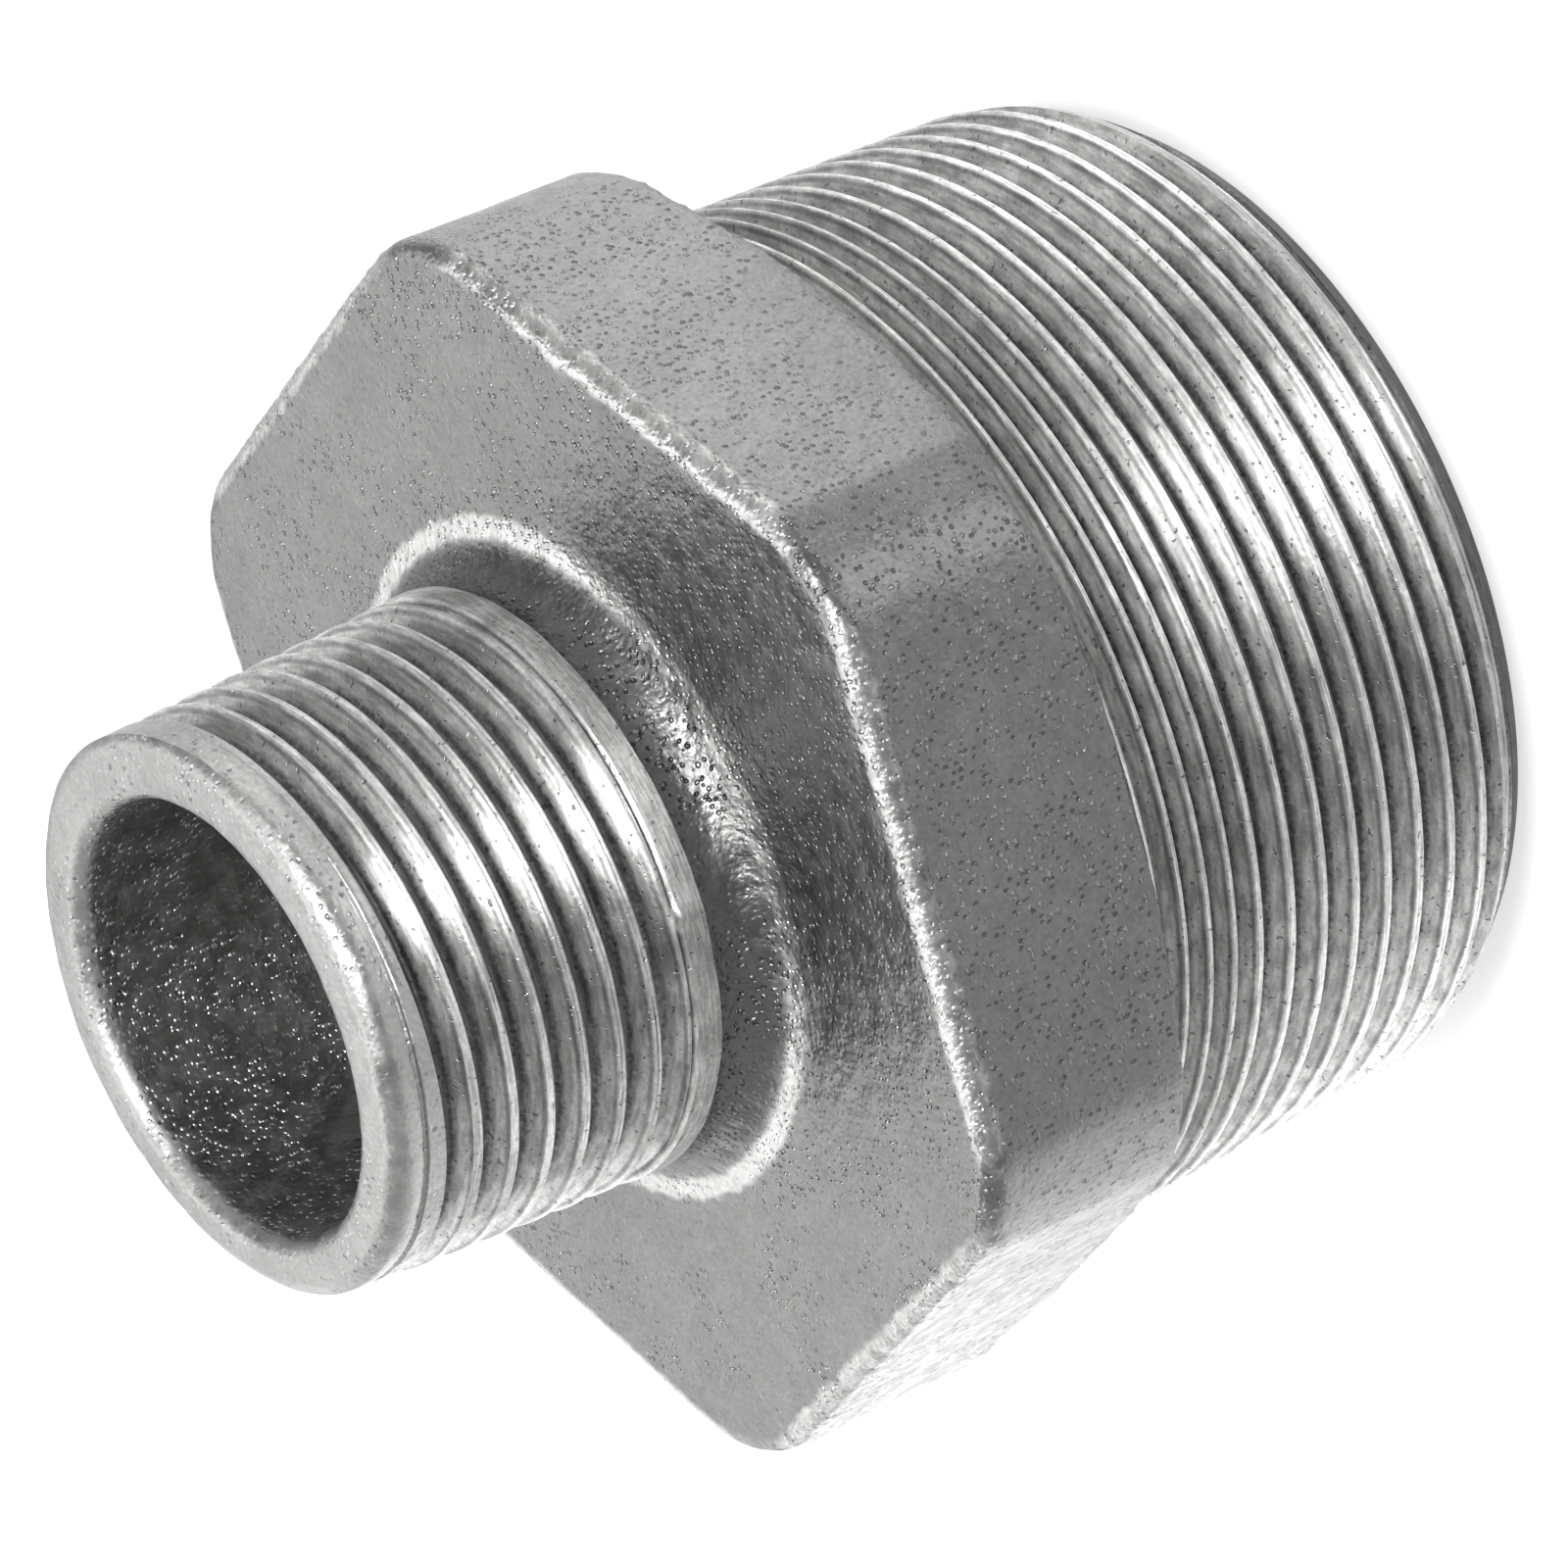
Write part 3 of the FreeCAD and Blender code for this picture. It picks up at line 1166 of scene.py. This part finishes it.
@dataclass(frozen=True)
class CastFinish:
    """Pickled cast steel: dull, finely pitted and lumpy. On the hexagon it also carries painted highlights
    and painted shade. Widths are in mm.

    Attributes:
        name: Name of the material.
        tone: Middle brightness.
        roughness: Middle roughness.
        pits: Share of the cells with a pit, where the skin is roughest.
        specks: Share of the cells with a raised bright grain.
        relief: Height of the bump in mm.
        painted_highlight: How much brighter the painted highlight along the front edge and round the fillet
            is. It is 0 away from the hexagon.
        dot_width: Width of a pit's or a grain's cell.
        contrast: How far a pit darkens the skin, and a bright grain lightens it.
        line_start: Distance past the bevel's corner where the painted highlight line along the edge starts.
        line_full: Distance where it is at its brightest.
        ridge: Distance of the painted highlight ridge on the fillet from the neck.
        painted_shade: How far painted shade darkens the roughest flat and its corner.
    """

    name: str
    tone: float
    roughness: float
    pits: float
    specks: float
    relief: float
    painted_highlight: float = 0.0
    dot_width: float = 0.41
    contrast: float = 0.45
    line_start: float = 0.60
    line_full: float = 1.15
    ridge: float = 2.75
    painted_shade: float = 0.27

    def rough_and_shaded_sides(self, sheet: NodeSheet) -> tuple[Socket, Socket]:
        """Adds the masks of the roughest skin: one flat with its corner, which also takes painted shade, and
        the front face by them.

        Args:
            sheet: The material's node sheet.

        Returns:
            The mask of the flat and the corner, and the mask of the front face.
        """
        flat = sheet.ease(sheet.reach(-90.0), 31.3 * MM, 31.8 * MM)
        corner = sheet.ease(sheet.reach(-60.0), 34.3 * MM, 34.7 * MM)
        inner = [sheet.ease(sheet.reach(azimuth), 31.2 * MM, 30.6 * MM) for azimuth in (-30.0, -90.0, -150.0)]
        front = sheet.ease(sheet.reach(-66.0), 15.0 * MM, 21.0 * MM)
        return sheet.math("MAXIMUM", flat, corner), sheet.times(front, *inner)

    def edge_highlight(self, sheet: NodeSheet, lumpy: Level) -> Socket:
        """Adds the painted highlight along the hexagon's front edge.

        Args:
            sheet: The material's node sheet.
            lumpy: Noise that breaks the line up.

        Returns:
            The factor on the brightness, 1 away from the edge.
        """
        out = 0.0
        for azimuth in (30.0, 90.0, 150.0):
            out = sheet.math("MAXIMUM", out, sheet.math("ABSOLUTE", sheet.reach(azimuth)))
        body = CastBody()
        bevel_corner = body.across_flats / 2 + body.rear + body.thickness - 2 * body.front_edge
        past = sheet.math("SUBTRACT", sheet.math("ADD", out, sheet.height()), bevel_corner * MM)
        past = sheet.ragged(past, lumpy, 0.8 * MM)
        return sheet.ease(past, self.line_start * MM, self.line_full * MM, 1.0, 1.0 + self.painted_highlight)

    def fillet_highlight_and_shade(self, sheet: NodeSheet, lumpy: Level) -> Socket:
        """Adds the painted highlight on the ridge round the neck's fillet and the painted shade inside it.

        Args:
            sheet: The material's node sheet.
            lumpy: Noise that makes the ridge uneven.

        Returns:
            The factor on the brightness, 1 away from the neck.
        """
        body = CastBody()
        ridge = body.neck_radius + self.ridge
        radius = sheet.ragged(sheet.radius(), lumpy, 0.9 * MM)
        off = sheet.math("ABSOLUTE", sheet.math("SUBTRACT", radius, ridge * MM))
        # Painted highlight on the fillet's ridge, and painted shade in the crease between the ridge and the
        # neck.
        light = sheet.ease(off, 0.85 * MM, 0.35 * MM, 1.0, 1.0 + 1.15 * self.painted_highlight)
        painted_shade = sheet.ease(radius, (ridge - 0.7) * MM, (ridge - 1.3) * MM, 1.0, 0.7)
        front = (body.rear + body.thickness - 0.6) * MM
        near = sheet.ease(sheet.height(), front, front + 0.2 * MM)
        change = sheet.math("SUBTRACT", sheet.times(light, painted_shade), 1.0)
        return sheet.math("ADD", 1.0, sheet.times(change, near))

    def material(self) -> bpy.types.Material:
        """Makes the material.

        Returns:
            The node material.
        """
        material, sheet, shader = metal(self.name)
        broad = sheet.grains(5.5, 2.0, 0.0)
        lumpy = sheet.grains(1.3, 2.0, 0.31)
        fine = sheet.grains(0.30, 1.0, 0.57)
        crowd = sheet.ease(sheet.grains(4.5, 1.0, 0.83), 0.36, 0.60, 0.20, 1.0)
        # These factors paint light on the hexagon: shade on one flat and its corner, a highlight along the
        # front edge, and a highlight and shade round the fillet.
        worn = []
        if self.painted_highlight > 0:
            side, front = self.rough_and_shaded_sides(sheet)
            crowd = sheet.math("MAXIMUM", crowd, sheet.math("MAXIMUM", side, sheet.times(front, 0.8)))
            worn = [
                sheet.dimmed(side, self.painted_shade),
                self.edge_highlight(sheet, lumpy),
                self.fillet_highlight_and_shade(sheet, lumpy),
            ]
        dots = sheet.dots(self.dot_width, self.pits, self.specks, 0.11)
        pit, speck = [sheet.times(dot, crowd) for dot in dots]
        clouds = (sheet.vary(lumpy, 0.93, 1.07), sheet.vary(fine, 0.92, 1.08), sheet.vary(broad, 0.95, 1.05))
        shade = sheet.times(*clouds, sheet.dimmed(pit, self.contrast))
        shade = sheet.math("ADD", shade, sheet.times(speck, self.contrast))
        shade = sheet.times(shade, *worn)
        sheet.put(sheet.steel(shade, self.tone), shader.inputs["Base Color"])
        roughness = sheet.vary(lumpy, self.roughness - 0.05, self.roughness + 0.07)
        sheet.put(roughness, shader.inputs["Roughness"])
        height = sheet.weighed((lumpy, 0.8), (fine, 0.20), (pit, -0.45), (speck, 0.40))
        sheet.put(sheet.bump(height, self.relief), shader.inputs["Normal"])
        return material


@dataclass(frozen=True)
class TurnedFinish:
    """Machined steel: bright, with fine marks that run round the axis, painted shade in the thread's roots
    and a painted highlight on its crests.

    Attributes:
        name: Name of the material.
        tone: Middle brightness.
        thread: The thread that it is on.
        roughness: Middle roughness.
        spread: How far the turning marks spread the shine along the axis.
        marks: Height of the turning marks in mm.
        root: Brightness of the painted shade at the bottom of a root, as a share of the middle.
        crest: Brightness of the painted highlight on a crest, as a share of the middle.
        hairline: How far the painted shade on the line just below a crest darkens it.
    """

    name: str
    tone: float
    thread: TaperThread
    roughness: float = 0.40
    spread: float = 0.75
    marks: float = 0.018
    root: float = 0.22
    crest: float = 1.22
    hairline: float = 0.40

    def groove(self, sheet: NodeSheet) -> Socket:
        """Adds the depth below the crests as a share of the thread's depth.

        Args:
            sheet: The material's node sheet.

        Returns:
            The share, 0 on a crest and 1 in a root.
        """
        at_foot = self.thread.crest_radius(0.0) * MM
        crest = sheet.math("ADD", sheet.times(sheet.height(), self.thread.growth), at_foot)
        return sheet.math("DIVIDE", sheet.math("SUBTRACT", crest, sheet.radius()), self.thread.depth * MM)

    def material(self) -> bpy.types.Material:
        """Makes the material.

        Returns:
            The node material.
        """
        material, sheet, shader = metal(self.name)
        shader.inputs["Anisotropic"].default_value = self.spread
        shader.inputs["Anisotropic Rotation"].default_value = 0.25
        patchy = sheet.grains(3.2, 2.0, 0.21)
        streak = sheet.grains(1.6, 2.0, 0.43, (1.0, 1.0, 11.0))
        fine = sheet.grains(0.30, 1.0, 0.61)
        pit = sheet.ease(sheet.grains(0.36, 1.0, 0.77), 0.33, 0.27)
        groove = self.groove(sheet)
        # line is the band just below a crest. The shade below paints shade into the roots and into that band,
        # and paints a highlight on the crests.
        line = sheet.times(sheet.ease(groove, 0.07, 0.14), sheet.ease(groove, 0.30, 0.20))
        shade = sheet.times(
            sheet.vary(streak, 0.76, 1.24),
            sheet.ease(patchy, 0.35, 0.65, 0.92, 1.1),
            sheet.vary(fine, 0.90, 1.10),
            sheet.ease(sheet.ragged(groove, fine, 0.5), 0.55, 1.0, 1.0, self.root),
            sheet.ease(groove, 0.02, 0.10, self.crest, 1.0),
            sheet.dimmed(line, self.hairline),
            sheet.dimmed(pit, 0.55),
        )
        sheet.put(sheet.steel(shade, self.tone), shader.inputs["Base Color"])
        roughness = sheet.vary(patchy, self.roughness - 0.05, self.roughness + 0.08)
        sheet.put(roughness, shader.inputs["Roughness"])
        height = sheet.weighed((streak, 1.0), (fine, 0.5), (pit, -1.2))
        sheet.put(sheet.bump(height, self.marks), shader.inputs["Normal"])
        return material


@dataclass
class Dressing:
    """Gives each face of the skin the finish that the foundry or the lathe left there."""

    skin: bpy.types.Object
    bore: Bore
    hex_rear: float = 27.9
    land_low: float = 46.88
    nose_low: float = 64.3
    lip_low: float = 66.9
    sharpest: float = 35.0

    def dress(self) -> None:
        """Adds the finishes in slot order, and shares the faces out among them."""
        finishes = (
            # The hexagon's cast finish paints a highlight on its front edge and fillet, and shade on one flat
            # and inside the fillet.
            CastFinish("cast_steel", 0.185, roughness=0.36, pits=0.46, specks=0.42, relief=0.20, painted_highlight=1.3),
            TurnedFinish("large_thread", 0.45, thread=LargeEnd().thread()),
            # The bore's cast skin has a lighter tone than the hexagon's: painted light that lifts the shade
            # inside the bore.
            CastFinish("bore_steel", 0.43, roughness=0.34, pits=0.40, specks=0.46, relief=0.24),
            CastFinish("nose_steel", 0.30, roughness=0.42, pits=0.26, specks=0.38, relief=0.12),
            TurnedFinish("small_thread", 0.48, thread=SmallEnd().thread()),
        )
        mesh = self.skin.data
        mesh.materials.clear()
        for finish in finishes:
            mesh.materials.append(finish.material())
        for face in mesh.polygons:
            radius, _, z = polar(face.center)
            face.material_index = self.surface(radius, z).value
        pick(self.skin)
        bpy.ops.object.shade_smooth_by_angle(angle=math.radians(self.sharpest))

    def surface(self, radius: float, z: float) -> Surface:
        """The kind of surface at a place.

        Args:
            radius: Distance from the axis in mm.
            z: Height above the foot in mm.

        Returns:
            The kind of surface.
        """
        large_side = z < self.bore.large_depth + self.bore.corner
        wall = self.bore.large_radius if large_side else self.bore.small_radius
        if self.bore.foot_edge < z < self.lip_low and radius < wall + 0.3:
            return Surface.BORE
        if z < self.hex_rear + 0.05 and radius < LargeEnd().thread().crest_radius(z) + 0.12:
            return Surface.LARGE_THREAD
        if z > self.nose_low:
            return Surface.NOSE
        if z > self.land_low:
            return Surface.SMALL_THREAD
        return Surface.CAST


def from_camera_side(shares: Triple) -> Vector:
    """The unit vector of a direction given as shares to the camera's right, away from it, and up."""
    return (floor_place(*shares[:2]) + Vector((0, 0, shares[2]))).normalized()


def floor_place(right: float, away: float) -> Vector:
    """The place on the floor that lies so far to the camera's right and away from the camera."""
    return way(CAMERA_AZIMUTH + 90, 0.0) * right + way(CAMERA_AZIMUTH + 180, 0.0) * away


@dataclass(frozen=True)
class SkyPatch:
    """A soft-edged patch of the studio's sky that is lighter or darker than the rest.

    Attributes:
        middle: Direction of its middle, as shares to the camera's right, away from it, and up.
        half_width: Half its width, as a share of the distance.
        half_height: Half its height, as a share of the distance.
        soft: Width of its soft rim, as a share of the distance.
        brightness: Level inside the patch.
        across: Direction that its width runs in, in the same shares as its middle.
    """

    middle: Triple
    half_width: float
    half_height: float
    soft: float
    brightness: float
    across: Triple = (1.0, 0.0, 0.0)

    def mask(self, sheet: NodeSheet, direction: Socket) -> Socket:
        """Adds the nodes that say how far a direction is inside the patch.

        Args:
            sheet: The world's node sheet.
            direction: The direction looked in.

        Returns:
            A mask that is 1 inside the patch.
        """
        middle = from_camera_side(self.middle)
        across = from_camera_side(self.across)
        across = (across - middle * across.dot(middle)).normalized()
        # The mirror image of a high patch is under the floor, so only a low one has to be faced.
        mask = sheet.ease(sheet.along(direction, middle), 0.0, 0.1) if middle.z < 0.7 else 1.0
        for axis, half in ((across, self.half_width), (middle.cross(across), self.half_height)):
            off = sheet.math("ABSOLUTE", sheet.along(direction, axis))
            mask = sheet.times(mask, sheet.ease(off, half + self.soft, half - self.soft))
        return mask


@dataclass
class Studio:
    """The floor, the sky and the lamps round the nipple. Lengths are in mm.

    Attributes:
        floor_size: Width of the floor.
        floor_tone: Colour of the floor.
        floor_glow: Share of plain white in what the camera and the metal see of the floor.
        sky_level: Plain level of the sky.
        lamp_distance: Distance of the hung lamps.
    """

    floor_size: float = 6000.0
    floor_tone: float = 0.9
    floor_glow: float = 0.62
    sky_level: float = 0.84
    lamp_distance: float = 700.0

    def patches(self) -> tuple[SkyPatch, ...]:
        """The parts of the sky that differ from its plain level: the dark behind the camera first.

        Returns:
            The patches, each over those before it.
        """
        return (
            SkyPatch((-0.30, -0.85, 0.25), 0.62, 0.62, soft=0.20, brightness=0.45),
            SkyPatch((0.0, 0.88, 0.48), 0.55, 0.20, soft=0.12, brightness=2.05),
            SkyPatch((0.68, 0.42, 0.55), 0.34, 0.36, soft=0.14, brightness=0.30, across=(0.5, -0.85, 0.0)),
            SkyPatch((0.0, 0.44, 0.89), 0.30, 0.10, soft=0.05, brightness=5.5),
            SkyPatch((0.36, 0.56, 0.74), 0.13, 0.11, soft=0.05, brightness=5.5),
            SkyPatch((-0.28, 0.60, 0.74), 0.13, 0.12, soft=0.05, brightness=3.4),
            SkyPatch((0.30, -0.20, 0.93), 0.22, 0.34, soft=0.10, brightness=1.6),
            SkyPatch((-0.36, -0.12, 0.92), 0.20, 0.30, soft=0.06, brightness=0.05),
        )

    def build(self) -> None:
        """Makes the whole studio."""
        self.floor()
        self.world()
        self.hung_lamp("strip_lamp", (0.105, -0.41, 0.90), (150.0, 460.0), 5.2)
        self.hung_lamp("left_lamp", (-0.45, 0.88, 0.14), (520.0, 180.0), 0.5)
        self.floor_panel("right_panel", (118.0, -24.0, 24.0), (100.0, 96.0), 0.17)
        self.floor_panel("back_left_panel", (-55.0, 95.0, 24.0), (110.0, 110.0), 0.27)
        self.floor_panel("left_panel", (-112.0, 10.0, 24.0), (100.0, 100.0), 0.12)
        self.floor_panel("near_panel", (14.0, -70.0, 9.0), (20.0, 46.0), 0.020)
        self.floor_panel("far_panel", (40.0, -132.0, 12.0), (50.0, 50.0), 0.14)

    def floor(self) -> None:
        """Lays the pale floor, which the camera and the metal see nearly white."""
        bpy.ops.object.select_all(action="DESELECT")
        bpy.ops.mesh.primitive_plane_add(size=self.floor_size * MM, location=(0, 0, 0))
        floor = bpy.context.object
        floor.name = "floor"
        material = bpy.data.materials.new("floor")
        material.use_nodes = True
        sheet = NodeSheet(material.node_tree)
        shader = material.node_tree.nodes["Principled BSDF"]
        shader.inputs["Base Color"].default_value = (self.floor_tone,) * 3 + (1.0,)
        shader.inputs["Roughness"].default_value = 0.9
        glow = sheet.add("Emission")
        glow.inputs["Strength"].default_value = 1.0
        rays = sheet.add("LightPath")
        seen = sheet.math("MAXIMUM", rays.outputs["Is Camera Ray"], rays.outputs["Is Glossy Ray"])
        seen = sheet.math("MAXIMUM", seen, rays.outputs["Is Transmission Ray"])
        blend = sheet.add("MixShader")
        sheet.put(sheet.times(seen, self.floor_glow), blend.inputs["Fac"])
        sheet.put(shader.outputs["BSDF"], blend.inputs[1])
        sheet.put(glow.outputs["Emission"], blend.inputs[2])
        sheet.put(blend.outputs["Shader"], material.node_tree.nodes["Material Output"].inputs["Surface"])
        floor.data.materials.append(material)

    def world(self) -> None:
        """Lights the studio with a pale sky and its patches."""
        world = bpy.data.worlds.new("studio")
        bpy.context.scene.world = world
        world.use_nodes = True
        sheet = NodeSheet(world.node_tree)
        direction = sheet.add("TexCoord").outputs["Generated"]
        level = self.sky_level
        for patch in self.patches():
            blend = sheet.add("Mix")
            sheet.put(patch.mask(sheet, direction), blend.inputs[0])
            sheet.put(level, blend.inputs[2])
            sheet.put(patch.brightness, blend.inputs[3])
            level = blend.outputs[0]
        back = world.node_tree.nodes["Background"]
        back.inputs["Color"].default_value = (1.0, 1.0, 1.0, 1.0)
        sheet.put(level, back.inputs["Strength"])

    def lamp(self, name: str, place: Vector, rotation: Triple, size: Point, power: float) -> None:
        """Adds a flat lamp.

        Args:
            name: Name of the lamp.
            place: Its place in mm.
            rotation: Its turns round the three axes.
            size: Its two sides in mm.
            power: Power in watts.
        """
        bpy.ops.object.light_add(type="AREA", location=place * MM)
        lamp = bpy.context.object
        lamp.name = name
        lamp.rotation_euler = rotation
        lamp.data.shape = "RECTANGLE"
        lamp.data.size = size[0] * MM
        lamp.data.size_y = size[1] * MM
        lamp.data.energy = power

    def hung_lamp(self, name: str, direction: Triple, size: Point, power: float) -> None:
        """Hangs a flat lamp that points at the nipple.

        Args:
            name: Name of the lamp.
            direction: Its direction, as shares to the camera's right, away from the camera, and up.
            size: Width and height of the lamp in mm.
            power: Power in watts.
        """
        toward = from_camera_side(direction)
        self.lamp(name, toward * self.lamp_distance, toward.to_track_quat("Z", "Y").to_euler(), size, power)

    def floor_panel(self, name: str, place: Triple, size: Point, power: float) -> None:
        """Hangs a flat lamp low over the floor beside the nipple, whose sides show the floor that it lights.

        Args:
            name: Name of the lamp.
            place: Its place in mm, to the camera's right, away from the camera, and up.
            size: Its size in mm in the first two directions.
            power: Power in watts.
        """
        above = floor_place(*place[:2]) + Vector((0, 0, place[2]))
        self.lamp(name, above, (0, 0, math.radians(CAMERA_AZIMUTH + 90)), size, power)


@dataclass
class ViewCamera:
    """The camera, which looks along the nipple's axis from in front and above."""

    azimuth: float = CAMERA_AZIMUTH
    elevation: float = 30.07
    roll: float = -114.33
    distance: float = 606.0
    aim_z: float = 30.3
    lens: float = 254.63
    sensor: float = 36.0
    shift_x: float = 0.0070
    shift_y: float = -0.0078
    clip_start: float = 0.01

    def build(self) -> None:
        """Places the camera and makes it the scene's own."""
        toward = way(self.azimuth, self.elevation)
        aim = Vector((0, 0, self.aim_z))
        bpy.ops.object.camera_add(location=(aim + toward * self.distance) * MM)
        camera = bpy.context.object
        upright = toward.to_track_quat("Z", "Y").to_matrix()
        camera.rotation_euler = (upright @ Matrix.Rotation(math.radians(self.roll), 3, "Z")).to_euler()
        camera.data.lens = self.lens
        camera.data.sensor_width = self.sensor
        camera.data.shift_x = self.shift_x
        camera.data.shift_y = self.shift_y
        camera.data.clip_start = self.clip_start
        bpy.context.scene.camera = camera


def main() -> None:
    """Loads the frame, models the skin, dresses it and sets the studio round it."""
    logging.basicConfig(level=logging.INFO, format="%(name)s: %(message)s")
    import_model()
    bpy.context.scene.view_settings.view_transform = "Standard"
    ViewCamera().build()
    Studio().build()
    skin = Nipple().build()
    Dressing(skin, Bore()).dress()
    report(skin)
    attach(skin, "root")
    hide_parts("nipple_body")


if __name__ == "__main__":
    main()
